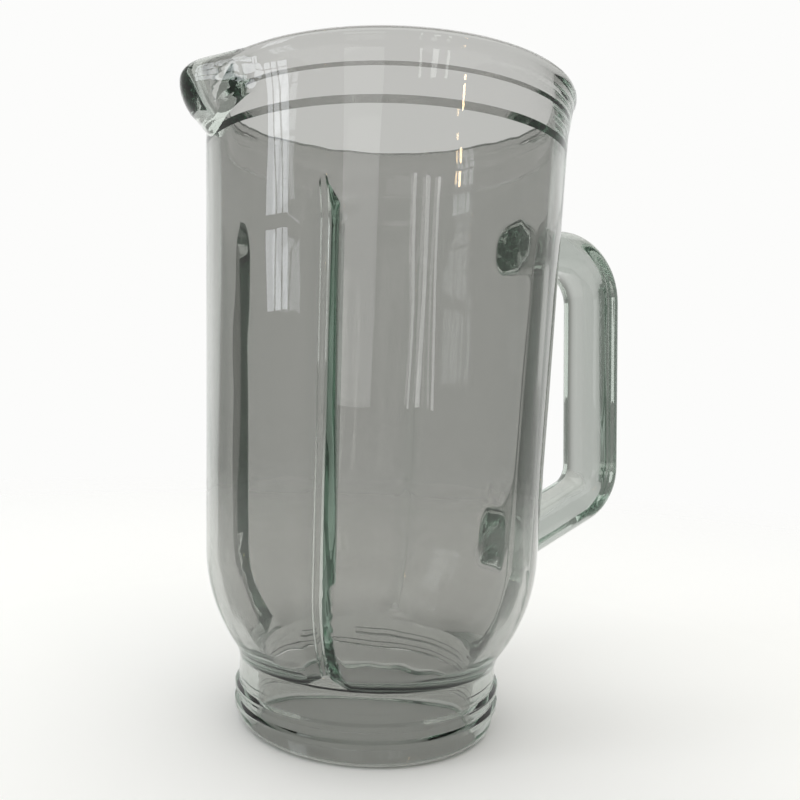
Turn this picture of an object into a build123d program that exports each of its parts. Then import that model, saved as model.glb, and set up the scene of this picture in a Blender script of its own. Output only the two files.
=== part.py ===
from build123d import *
import math
import os

# One-piece pressed-glass jar of a countertop blender: a tapered round body with an integral handle,
# a pouring lip opposite the handle, four inner ribs and an open threaded neck for the blade base.
# Millimetres. +Z up along the jar's axis, the neck's lower face on Z = 0, handle towards +X, lip towards -X.

# Driving dimensions: the jar's outside
jar_height = 220.0
body_top_radius = 63.0
body_base_radius = 59.0
flare_depth = 15.0
rim_overhang = 2.2
rim_bead_round = 2.3
rim_bead_step = 0.8
shoulder_top = 61.0
neck_radius = 46.0
waist_bevel = 2.5
neck_lip_round = 4.0

# Driving dimensions: the jar's inside
wall = 4.7
neck_wall = 8.0
bore_lip_round = 1.2
lid_seat_depth = 20.0
lid_seat_ledge = 2.0
lid_seat_wall = 3.0
mouth_depth = 10.0
mouth_flare = 1.0
mouth_round = 1.5

# Small turned roundings, and the lip's larger ones, are made of flats this many degrees apart,
# which keeps the part light
flat_angle = 30.0
lip_flat_angle = 9.0

# Where the turned faces close on themselves, clear of the handle, the lip and the ribs
outer_seam_angle = 100.0
inner_seam_angle = 20.0

# Driving dimensions: inner ribs
rib_count = 4
rib_first_angle = 45.0
rib_width = 16.4
rib_depth = 4.2
rib_tip_width = 2.8
rib_tip_rise = 1.2
rib_hollow = 0.3
rib_sink = 0.2
rib_drop = 41.0
rib_bend_height = 58.0
rib_fade = 13.0
rib_root = 2.0
rib_bore_margin = 1.0

# Driving dimensions: handle
grip_depth = 16.0
grip_width = 22.0
grip_round = 6.5
grip_top_gap = 26.2
grip_base_gap = 35.3
upper_arm_drop = 45.0
lower_arm_rise = 18.8
lower_arm_slope = 25.0
upper_bend_radius = 20.0
lower_bend_radius = 15.0
handle_root_round = 4.0

# Driving dimensions: pouring lip
lip_overhang = 11.0
lip_tip_radius = 16.0
lip_round = 4.5
lip_under_round = 13.0
lip_under_angle = 45.0
lip_wall = 5.2
lip_channel_angle = 52.0
lip_sink = 0.6

# Driving dimensions: neck thread
thread_pitch = 5.5
thread_turns = 1.8
thread_start_height = 6.5
thread_start_angle = 140.0
thread_depth = 1.3
thread_base_width = 4.0
thread_crest_width = 1.6
thread_root = 0.8

# Sizes that follow from these
rim_radius = body_top_radius + rim_overhang
lid_seat_radius = body_top_radius - lid_seat_wall
bore_radius = neck_radius - neck_wall
flare_foot = jar_height - flare_depth
rib_top = jar_height - rib_drop
upper_arm_height = jar_height - upper_arm_drop
lower_arm_corner_height = shoulder_top + lower_arm_rise
lip_reach = body_top_radius + lip_overhang
taper = math.degrees(math.atan2(body_top_radius - body_base_radius, flare_foot - shoulder_top))


def point(r, z):
    """A point of a half-section, radius along X and height along Z."""
    return Vector(r, 0, z)


def on_circle(centre, radius, angle):
    """A point of a half-section on a circle, the angle in degrees from the radius axis."""
    a = math.radians(angle)
    return centre + Vector(radius * math.cos(a), 0, radius * math.sin(a))


def rounding(centre, radius, from_angle, to_angle, apart=flat_angle):
    """The points of a rounding that is cut as flats."""
    flats = math.ceil(abs(to_angle - from_angle) / apart)
    step = (to_angle - from_angle) / flats
    return [on_circle(centre, radius, from_angle + step * i) for i in range(flats + 1)]


def shoulder_curve(inset, end_radius):
    """The shoulder, moved inwards by a wall: part of a ball that touches the tapered body without a kink."""
    centre = point(0, shoulder_top + body_base_radius * math.tan(math.radians(taper)))
    radius = body_base_radius / math.cos(math.radians(taper)) - inset
    end_angle = math.degrees(math.acos(end_radius / radius))
    angles = (-taper, -(taper + end_angle) / 2, -end_angle)
    return ThreePointArc(*[on_circle(centre, radius, a) for a in angles])


def body_radius_at(z, inset):
    """Distance from the axis of the tapered body's line, moved inwards by a wall."""
    start = shoulder_curve(inset, bore_radius) @ 0
    return start.X + math.tan(math.radians(taper)) * (z - start.Z)


def outer_body():
    """The jar's outside, filled: neck, shoulder, tapered body, flare and beaded rim."""
    shoulder = shoulder_curve(0, neck_radius)
    foot = rounding(point(neck_radius - neck_lip_round, neck_lip_round), neck_lip_round, -90, 0)
    bead_centre = point(rim_radius - rim_bead_round, jar_height - rim_bead_round)
    bead_start = math.degrees(math.acos(1 - rim_bead_step / rim_bead_round))
    bead = rounding(bead_centre, rim_bead_round, -bead_start, 90)
    below = Polyline(point(0, 0), *foot, shoulder @ 1)
    flare = point(body_top_radius, flare_foot)
    above = Polyline(shoulder @ 0, flare, *bead, point(0, jar_height), point(0, 0))
    section = make_face([*below.edges(), shoulder, *above.edges()])
    waist = section.vertices().sort_by_distance(shoulder @ 1)[0]
    return Rot(0, 0, outer_seam_angle) * revolve(chamfer(waist, waist_bevel), Axis.Z)


def cavity():
    """The jar's inside: bore, inner shoulder, body, lid seat and mouth, open at both ends."""
    shoulder = shoulder_curve(wall, bore_radius)
    foot = rounding(point(bore_radius + bore_lip_round, bore_lip_round), bore_lip_round, 270, 180)
    mouth_radius = lid_seat_radius + mouth_flare
    crown = rounding(point(mouth_radius + mouth_round, jar_height - mouth_round), mouth_round, 180, 90)
    ledge_z = jar_height - lid_seat_depth
    mouth_z = jar_height - mouth_depth
    clear = Vector(0, 0, rim_bead_round)
    below = Polyline(point(0, 0) - clear, foot[0] - clear, *foot, shoulder @ 1)
    above = Polyline(
        shoulder @ 0,
        point(body_radius_at(ledge_z, wall), ledge_z),
        point(lid_seat_radius, ledge_z + lid_seat_ledge),
        point(lid_seat_radius, mouth_z),
        point(mouth_radius, mouth_z + mouth_flare),
        *crown,
        crown[-1] + clear,
        point(0, jar_height) + clear,
        point(0, 0) - clear,
    )
    section = make_face([*below.edges(), shoulder, *above.edges()])
    return Rot(0, 0, inner_seam_angle) * revolve(section, Axis.Z)


def rib_section(path):
    """A rib across its run: hollow flanks rising out of the wall to a narrow rounded tip."""
    half = rib_width / 2
    tip = rib_tip_width / 2
    tip_foot = rib_depth - rib_tip_rise
    middle_x = (half + tip) / 2
    middle_y = (tip_foot - rib_sink) / 2 - rib_hollow
    left = Spline((-half, -rib_sink), (-middle_x, middle_y), (-tip, tip_foot))
    nose = ThreePointArc((-tip, tip_foot), (0, rib_depth), (tip, tip_foot))
    right = Spline((tip, tip_foot), (middle_x, middle_y), (half, -rib_sink))
    back = Polyline((half, -rib_sink), (half, -rib_root), (-half, -rib_root), (-half, -rib_sink))
    frame = Plane(origin=path @ 0, x_dir=(0, 1, 0), z_dir=path % 0)
    return frame * make_face([left, nose, right, *back.edges()])


def rib_run():
    """The line a rib follows: from the bore round the inner shoulder, up the wall, then out into it."""
    fade_z = rib_top - rib_fade
    bend = point(body_radius_at(rib_bend_height, wall), rib_bend_height)
    fade = point(body_radius_at(fade_z, wall), fade_z)
    top = point(body_radius_at(rib_top, wall - rib_depth), rib_top)
    up = Line(bend, fade)
    out = TangentArc(fade, top, tangent=up % 1)
    round_in = TangentArc(bend, shoulder_curve(wall, bore_radius) @ 1, tangent=up % 0 * -1)
    return Wire([up, out, round_in])


def rib():
    """One inner rib along +X: it runs down the wall and the inner shoulder, clear of the bore."""
    run = rib_run()
    blade = sweep(rib_section(run), path=run)
    bore_clear = Cylinder(bore_radius + rib_bore_margin, 2 * shoulder_top)
    return blade - bore_clear


def ribs():
    """All the inner ribs, evenly spaced round the axis."""
    step = 360.0 / rib_count
    return [Rot(0, 0, rib_first_angle + step * i) * rib() for i in range(rib_count)]


def handle():
    """The solid handle: level upper arm, nearly upright grip and a sloping lower arm."""
    inner_end = (bore_radius + body_base_radius) / 2
    grip_top_reach = body_top_radius + grip_top_gap + grip_depth / 2
    grip_base_reach = body_base_radius + grip_base_gap + grip_depth / 2
    slope = math.tan(math.radians(lower_arm_slope))
    root_z = lower_arm_corner_height - (grip_base_reach - inner_end) * slope
    route = [
        point(inner_end, upper_arm_height),
        point(grip_top_reach, upper_arm_height),
        point(grip_base_reach, lower_arm_corner_height),
        point(inner_end, root_z),
    ]
    path = FilletPolyline(*route, radius=[upper_bend_radius, lower_bend_radius])
    frame = Plane(origin=path @ 0, x_dir=(0, 1, 0), z_dir=path % 0)
    return sweep(frame * RectangleRounded(grip_width, grip_depth, grip_round), path=path)


def lip_outline(reach, tip_radius, root_radius, z):
    """A level section of the beak: a round tip whose straight sides touch a circle round the jar's axis."""
    tip_centre = reach - tip_radius
    side = math.degrees(math.acos((root_radius - tip_radius) / tip_centre))
    tip_middle = Vector(-tip_centre, 0, z)
    axis = Vector(0, 0, z)

    def corner(centre, radius, angle):
        a = math.radians(180 - angle)
        return centre + Vector(radius * math.cos(a), radius * math.sin(a), 0)

    tip = ThreePointArc(*[corner(tip_middle, tip_radius, a) for a in (-side, 0, side)])
    back = Polyline(tip @ 1, corner(axis, root_radius, side), corner(axis, root_radius, -side), tip @ 0)
    return make_face([tip, *back.edges()])


def lip_nose():
    """The outside of the pouring lip: a round-edged beak that runs back into the body below."""
    root_radius = body_top_radius - lip_sink
    tip_z = jar_height - lip_round
    over_centre = point(lip_reach - lip_round, tip_z)
    under_centre = point(lip_reach - lip_under_round, tip_z)
    over = rounding(over_centre, lip_round, 90, 0, lip_flat_angle)
    under = rounding(under_centre, lip_under_round, 0, lip_under_angle - 90, lip_flat_angle)
    nose = [*over, *under[1:]]
    end_reach = body_top_radius - lip_sink / 2
    end_drop = (nose[-1].X - end_reach) * math.tan(math.radians(lip_under_angle))
    run = [*nose, point(end_reach, nose[-1].Z - end_drop)]
    return loft([lip_outline(p.X, lip_tip_radius, root_radius, p.Z) for p in run], ruled=True)


def lip_channel():
    """The inside of the pouring lip: the hollow that the drink runs out over."""
    root_radius = lid_seat_radius - lip_sink
    slope = math.tan(math.radians(lip_channel_angle))
    top_reach = lip_reach - lip_wall + rim_bead_round / slope
    end_reach = lid_seat_radius - lip_sink / 2
    top_z = jar_height + rim_bead_round
    end_z = top_z - (top_reach - end_reach) * slope
    tip_radius = lip_tip_radius - lip_wall
    top = lip_outline(top_reach, tip_radius, root_radius, top_z)
    end = lip_outline(end_reach, tip_radius, root_radius, end_z)
    return loft([end, top], ruled=True)


def thread():
    """The coarse right-hand thread that the blade base screws on to."""
    run = Helix(thread_pitch, thread_turns * thread_pitch, neck_radius)
    half_base = thread_base_width / 2
    half_crest = thread_crest_width / 2
    ridge = Polyline(
        (-thread_root, -half_base),
        (thread_depth, -half_crest),
        (thread_depth, half_crest),
        (-thread_root, half_base),
        close=True,
    )
    frame = Plane(origin=run @ 0, x_dir=(1, 0, 0), z_dir=run % 0)
    ridge_solid = sweep(frame * make_face(ridge.edges()), path=run, is_frenet=True)
    return Pos(0, 0, thread_start_height) * Rot(0, 0, thread_start_angle) * ridge_solid


def glass_jar():
    """The whole jar as one solid."""
    outside = outer_body() + lip_nose()
    grip = handle()
    with_grip = outside + grip
    with_grip = fillet(new_edges(outside, grip, combined=with_grip), handle_root_round)
    inside = cavity() - ribs() + lip_channel()
    return with_grip - inside + thread()


os.makedirs("parts", exist_ok=True)
export_step(glass_jar(), "parts/glass_jar.step")
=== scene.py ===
# %% [markdown]
# # A pressed-glass blender jar
# The jar is one piece of clear glass, so its whole look is light: what the walls bend, what their thick
# places swallow and what they mirror. The CAD part gives the form; this lesson adds the glass, a pale
# floor, soft studio lights and a camera that stands where the photographer stood.

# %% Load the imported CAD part
import math

import bpy
from mathutils import Matrix, Vector


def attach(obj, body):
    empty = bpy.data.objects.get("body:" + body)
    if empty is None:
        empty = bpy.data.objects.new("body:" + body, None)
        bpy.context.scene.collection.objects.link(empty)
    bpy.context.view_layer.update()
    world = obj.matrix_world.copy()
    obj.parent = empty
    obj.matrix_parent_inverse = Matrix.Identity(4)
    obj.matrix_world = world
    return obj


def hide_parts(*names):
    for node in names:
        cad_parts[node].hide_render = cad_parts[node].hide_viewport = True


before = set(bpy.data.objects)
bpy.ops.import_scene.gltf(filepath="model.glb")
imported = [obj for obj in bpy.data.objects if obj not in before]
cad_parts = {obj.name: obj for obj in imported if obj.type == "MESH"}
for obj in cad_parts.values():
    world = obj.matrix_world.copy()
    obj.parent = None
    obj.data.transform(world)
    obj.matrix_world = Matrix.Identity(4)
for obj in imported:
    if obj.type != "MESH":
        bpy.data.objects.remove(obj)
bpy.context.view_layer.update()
MM = 0.001

# %% [markdown]
# ## Colours and nodes
# Colours are written as sRGB hex, as a paint chart gives them. Shaders reckon in linear light, so one
# function turns each colour over once. A second one adds a shader node with its values and links, which
# keeps the materials short enough to read.


# %% Helpers for colours and shader nodes
def linear(hex_colour):
    """An sRGB hex colour as linear RGBA."""
    def channel(i):
        c = int(hex_colour[i:i + 2], 16) / 255
        return c / 12.92 if c <= 0.04045 else ((c + 0.055) / 1.055) ** 2.4
    return (channel(1), channel(3), channel(5), 1.0)


def add_node(tree, kind, settings=None, links=None):
    """One shader node with its socket values, and links {input name: output socket}."""
    node = tree.nodes.new(kind)
    for name, value in (settings or {}).items():
        node.inputs[name].default_value = value
    for name, socket in (links or {}).items():
        tree.links.new(socket, node.inputs[name])
    return node


def new_material(name):
    """An empty node material, its tree and its output node."""
    material = bpy.data.materials.new(name)
    material.use_nodes = True
    material.node_tree.nodes.clear()
    output = material.node_tree.nodes.new("ShaderNodeOutputMaterial")
    return material, material.node_tree, output


print("white in linear light:", linear("#ffffff"))

# %% [markdown]
# ## Fire polish
# After pressing, a flame melts the skin of the glass until small edges run round. The CAD part draws its
# small roundings as flats, to stay light. Bevels could round them, but glass only needs the right slope
# of its skin, so a copy of the part is merged to one closed skin and shaded smooth across every edge
# flatter than the polish angle. Sharper edges, such as the ends of the thread, stay crisp. No point is
# moved, and the copy stands for the part.

# %% Polish a copy of the pressed jar
MERGE_WITHIN = 0.001 * MM
POLISH_ANGLE = math.radians(31.5)

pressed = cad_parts["glass_jar"]
jar = bpy.data.objects.new("fire_polished_jar", pressed.data.copy())
bpy.context.collection.objects.link(jar)
bpy.ops.object.select_all(action="DESELECT")
bpy.context.view_layer.objects.active = jar
jar.select_set(True)
bpy.ops.mesh.customdata_custom_splitnormals_clear()
bpy.ops.object.mode_set(mode="EDIT")
bpy.ops.mesh.select_all(action="SELECT")
bpy.ops.mesh.remove_doubles(threshold=MERGE_WITHIN)
bpy.ops.object.mode_set(mode="OBJECT")
bpy.ops.object.shade_smooth_by_angle(angle=POLISH_ANGLE)
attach(jar, "root")
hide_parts("glass_jar")
print("polished jar:", len(jar.data.vertices), "points,", len(jar.data.polygons), "triangles")

# %% [markdown]
# ## The glass
# Soda-lime glass bends light with an index of 1.52. Pressed in a mould and fire-polished, its skin is
# smooth, with a faint ripple drawn down the walls that makes mirrored edges waver. The skin's colour is
# painted shade: a grey that darkens every wall and stands in for a darker room seen through clear glass,
# which itself takes only a little light at each skin. The iron in the sand drinks red and some blue on
# the way, so the long ways through the rib cores, the lip and the handle's roots turn dark and green. One
# colour could not do both: the painted shade in the skin sets the walls, and the colour inside sets the
# thick places.

# %% Make the pressed glass
GLASS_IOR = 1.52
# The walls' grey is painted shade: it stands in for a darker room seen through clear glass.
GLASS_WALL_PAINTED_SHADE = "#c7c6c4"
GLASS_DEEP_TINT = "#6aa98a"
GLASS_DRINKS_PER_METRE = 12.0
RIPPLE_ACROSS = 14.2857 * MM
RIPPLE_ALONG = 83.3333 * MM
RIPPLE_HEIGHT = 0.3 * MM

glass, tree, output = new_material("Pressed soda-lime glass, fire-polished")
place = add_node(tree, "ShaderNodeTexCoord")
ripples_per_metre = (1 / RIPPLE_ACROSS, 1 / RIPPLE_ACROSS, 1 / RIPPLE_ALONG)
drawn = add_node(tree, "ShaderNodeVectorMath", {1: ripples_per_metre}, {0: place.outputs["Object"]})
drawn.operation = "MULTIPLY"
ripple = add_node(tree, "ShaderNodeTexNoise", {"Scale": 1.0, "Detail": 1.0},
                  {"Vector": drawn.outputs["Vector"]})
skin = add_node(tree, "ShaderNodeBump", {"Distance": RIPPLE_HEIGHT}, {"Height": ripple.outputs["Fac"]})
# The base colour greys every wall with painted shade.
surface = add_node(tree, "ShaderNodeBsdfPrincipled", {
    "Base Color": linear(GLASS_WALL_PAINTED_SHADE),
    "Roughness": 0.0,
    "IOR": GLASS_IOR,
    "Transmission Weight": 1.0,
}, {"Normal": skin.outputs["Normal"]})
body = add_node(tree, "ShaderNodeVolumeAbsorption", {
    "Color": linear(GLASS_DEEP_TINT),
    "Density": GLASS_DRINKS_PER_METRE,
})
tree.links.new(surface.outputs["BSDF"], output.inputs["Surface"])
tree.links.new(body.outputs["Volume"], output.inputs["Volume"])

jar.data.materials.clear()
jar.data.materials.append(glass)
print("glass on", jar.name, "with", [round(r) for r in ripples_per_metre], "ripples per metre")

# %% [markdown]
# ## Floor
# A pale sheet of paper lies under the jar. A bent studio sweep would hide its far edge, but glass shows
# the bend. Here the sheet fades out instead, into the backdrop, so no horizon cuts through the glass,
# and near the jar it keeps the shadow.

# %% Lay the paper
FLOOR_HALF = 2.4
FADE_START = 0.22
FADE_END = 0.75
PAPER_COLOUR = "#f5f5f3"

bpy.ops.mesh.primitive_plane_add(size=2 * FLOOR_HALF, location=(0, 0, 0))
floor = bpy.context.object
floor.name = "pale_floor"
paper, tree, output = new_material("Matt paper, fading into the backdrop")
place = add_node(tree, "ShaderNodeTexCoord")
reach = add_node(tree, "ShaderNodeVectorMath", links={0: place.outputs["Object"]})
reach.operation = "LENGTH"
fade = add_node(tree, "ShaderNodeMapRange", {"From Min": FADE_START, "From Max": FADE_END},
                {"Value": reach.outputs["Value"]})
sheet = add_node(tree, "ShaderNodeBsdfDiffuse", {"Color": linear(PAPER_COLOUR)})
nothing = add_node(tree, "ShaderNodeBsdfTransparent")
blend = add_node(tree, "ShaderNodeMixShader", links={
    "Fac": fade.outputs["Result"], 1: sheet.outputs["BSDF"], 2: nothing.outputs["BSDF"]})
tree.links.new(blend.outputs["Shader"], output.inputs["Surface"])
floor.data.materials.append(paper)
print("paper", round(2 * FLOOR_HALF, 2), "m wide")

# %% [markdown]
# ## Camera
# The photographer stood close, at about the jar's middle height, with the handle to the right and turned
# away, so the lens is wide. The numbers come from fitting the rim, the neck and the sides of the body to
# the photograph. The picture was cropped from a wider one, which the lens shift repeats.

# %% Turn towards the jar
HANDLE_TURN = math.radians(118.0)
CAMERA_DISTANCE = 0.29401
CAMERA_HEIGHT = 0.11938
CAMERA_YAW = -0.0430
CAMERA_PITCH = -0.0419
CAMERA_ROLL = 0.0347

away = Vector((-math.cos(HANDLE_TURN), math.sin(HANDLE_TURN), 0))
right = Vector((math.sin(HANDLE_TURN), math.cos(HANDLE_TURN), 0))
up = Vector((0, 0, 1))
level_right = right * math.cos(CAMERA_YAW) - away * math.sin(CAMERA_YAW)
level_ahead = right * math.sin(CAMERA_YAW) + away * math.cos(CAMERA_YAW)
ahead = level_ahead * math.cos(CAMERA_PITCH) + up * math.sin(CAMERA_PITCH)
over = up * math.cos(CAMERA_PITCH) - level_ahead * math.sin(CAMERA_PITCH)
cam_right = level_right * math.cos(CAMERA_ROLL) + over * math.sin(CAMERA_ROLL)
cam_up = over * math.cos(CAMERA_ROLL) - level_right * math.sin(CAMERA_ROLL)
print("looking along", [round(v, 3) for v in ahead])

# %% Set the camera
LENS_MM = 36.59
SENSOR_MM = 36.0
CROP_SHIFT = (0.075, 0.025)
NEAREST_SEEN = 0.01

camera_data = bpy.data.cameras.new("photo_camera")
camera_data.lens = LENS_MM
camera_data.sensor_width = SENSOR_MM
camera_data.shift_x, camera_data.shift_y = CROP_SHIFT
camera_data.clip_start = NEAREST_SEEN
camera = bpy.data.objects.new("photo_camera", camera_data)
bpy.context.collection.objects.link(camera)
turn = Matrix((cam_right, cam_up, -ahead)).transposed().to_4x4()
camera.matrix_world = Matrix.Translation(-away * CAMERA_DISTANCE + up * CAMERA_HEIGHT) @ turn
bpy.context.scene.camera = camera
print("camera at", [round(v, 3) for v in camera.location])

# %% [markdown]
# ## Lamps
# Glass shows lamps as reflections, so each one is placed for the mark it leaves on the wall. All of them
# are plain rectangles of light. A bearing goes round the jar from the camera's right: 90 is where the
# camera stands and 180 is to its left.


# %% A lamp that faces the jar
JAR_MIDDLE = 0.11
WHITE = "#ffffff"


def softbox(name, bearing, height, distance, size, radiance, colour, sideways=0.0):
    """A rectangular light at a bearing from the camera's right, facing the jar's middle."""
    data = bpy.data.lights.new(name, "AREA")
    data.shape = "RECTANGLE"
    data.size, data.size_y = size
    data.energy = radiance * math.pi * size[0] * size[1]
    data.color = linear(colour)[:3]
    lamp = bpy.data.objects.new(name, data)
    angle = math.radians(bearing)
    out = right * math.cos(angle) - away * math.sin(angle)
    along = right * math.sin(angle) + away * math.cos(angle)
    lamp.location = out * distance + along * sideways + up * height
    aim = up * JAR_MIDDLE - out * distance - up * height
    lamp.rotation_euler = aim.to_track_quat("-Z", "Y").to_euler()
    bpy.context.collection.objects.link(lamp)


print("lamps face the jar", JAR_MIDDLE, "m above the floor")

# %% [markdown]
# A window of small panes stands to the left of the camera and a few warm bulbs hang one above the other
# to the right. Both show as bright marks below the rim.

# %% Put in the window and the bulbs
WINDOW_BEARING = 155
WINDOW_DISTANCE = 1.4
WINDOW_FOOT = 0.28
WINDOW_RADIANCE = 4.0
WINDOW_COLOUR = "#f4f8ff"
PANE = (0.11, 0.15)
PANE_GAP = 0.03
BULB_BEARING = 47
BULB_DISTANCE = 1.3
BULB_HEIGHTS = (0.43, 0.47, 0.52, 0.60, 0.66)
BULB_SIZE = (0.03, 0.025)
BULB_RADIANCE = 26.0
BULB_COLOUR = "#ffd9a8"

for column in (-1, 0, 1):
    for row in range(5):
        softbox(f"window_pane_{column:+d}_{row}", WINDOW_BEARING, WINDOW_FOOT + row * (PANE[1] + PANE_GAP),
                WINDOW_DISTANCE, PANE, WINDOW_RADIANCE, WINDOW_COLOUR, column * (PANE[0] + PANE_GAP))
for bulb_height in BULB_HEIGHTS:
    softbox(f"bulb_{bulb_height:.2f}", BULB_BEARING, bulb_height, BULB_DISTANCE, BULB_SIZE,
            BULB_RADIANCE, BULB_COLOUR)
print("panes and bulbs:", len(bpy.data.lights))

# %% [markdown]
# Three thin strips beside the bulbs and a dim card behind the camera draw pale streaks down the wall. A
# broad soft ceiling lights the paper.

# %% Add the strips, the card and the ceiling
CARD_DISTANCE = 1.3
STRIPS = ((56.5, 0.035), (64.5, 0.07), (72.0, 0.035))
STRIP_HEIGHT = 0.22
STRIP_LENGTH = 0.42
STRIP_RADIANCE = 3.0
CARD_BEARING = 103
CARD_HEIGHT = 0.28
CARD_SIZE = (0.5, 0.54)
CARD_RADIANCE = 1.0
CEILING_HEIGHT = 1.6
CEILING_SIZE = (3.2, 3.2)
CEILING_RADIANCE = 1.05
CEILING_TOWARDS_CAMERA = 0.1

for number, (strip_bearing, strip_width) in enumerate(STRIPS):
    softbox(f"strip_{number}", strip_bearing, STRIP_HEIGHT, CARD_DISTANCE, (strip_width, STRIP_LENGTH),
            STRIP_RADIANCE, WHITE)
softbox("card_behind_camera", CARD_BEARING, CARD_HEIGHT, CARD_DISTANCE, CARD_SIZE, CARD_RADIANCE, WHITE)
softbox("ceiling", 90, CEILING_HEIGHT, CEILING_TOWARDS_CAMERA, CEILING_SIZE, CEILING_RADIANCE, WHITE)
print("lamps:", len(bpy.data.lights))

# %% [markdown]
# ## Room and backdrop
# The room is grey all round, with a white backdrop behind the jar that is a little wider than the picture.
# A white room would be simpler, but clear glass would vanish in it. Seen straight through, the jar is
# clear; its ribs and edges bend the view aside to the grey room, and so they draw themselves. Camera,
# mirror and glass all see the same room, from every side.

# %% Paint the room
ROOM_COLOUR = "#b2b2af"
BACKDROP_COLOUR = "#fcfcfb"
BACKDROP_EDGES = (0.52, 0.84)

world = bpy.data.worlds.new("grey_room_white_backdrop")
world.use_nodes = True
tree = world.node_tree
way = add_node(tree, "ShaderNodeTexCoord")
facing = add_node(tree, "ShaderNodeVectorMath", {1: away}, {0: way.outputs["Generated"]})
facing.operation = "DOT_PRODUCT"
room = add_node(tree, "ShaderNodeValToRGB", links={"Fac": facing.outputs["Value"]})
room.color_ramp.interpolation = "EASE"
stops = zip(room.color_ramp.elements, BACKDROP_EDGES, (ROOM_COLOUR, BACKDROP_COLOUR))
for stop, edge, colour in stops:
    stop.position = edge
    stop.color = linear(colour)
tree.links.new(room.outputs["Color"], tree.nodes["Background"].inputs["Color"])
bpy.context.scene.world = world
bpy.context.scene.view_settings.view_transform = "Standard"
print("world:", world.name)

# %% [markdown]
# ## Long ways through the glass
# In a rib the light runs on from skin to skin many times before it leaves. Cut short, such ways turn
# black; followed to their end, they come out green.

# %% Follow the light through the glass
GLASS_BOUNCES = 48
light_paths = bpy.context.scene.cycles
light_paths.max_bounces = GLASS_BOUNCES
light_paths.transmission_bounces = GLASS_BOUNCES
light_paths.glossy_bounces = GLASS_BOUNCES
print("bounces followed:", light_paths.max_bounces)
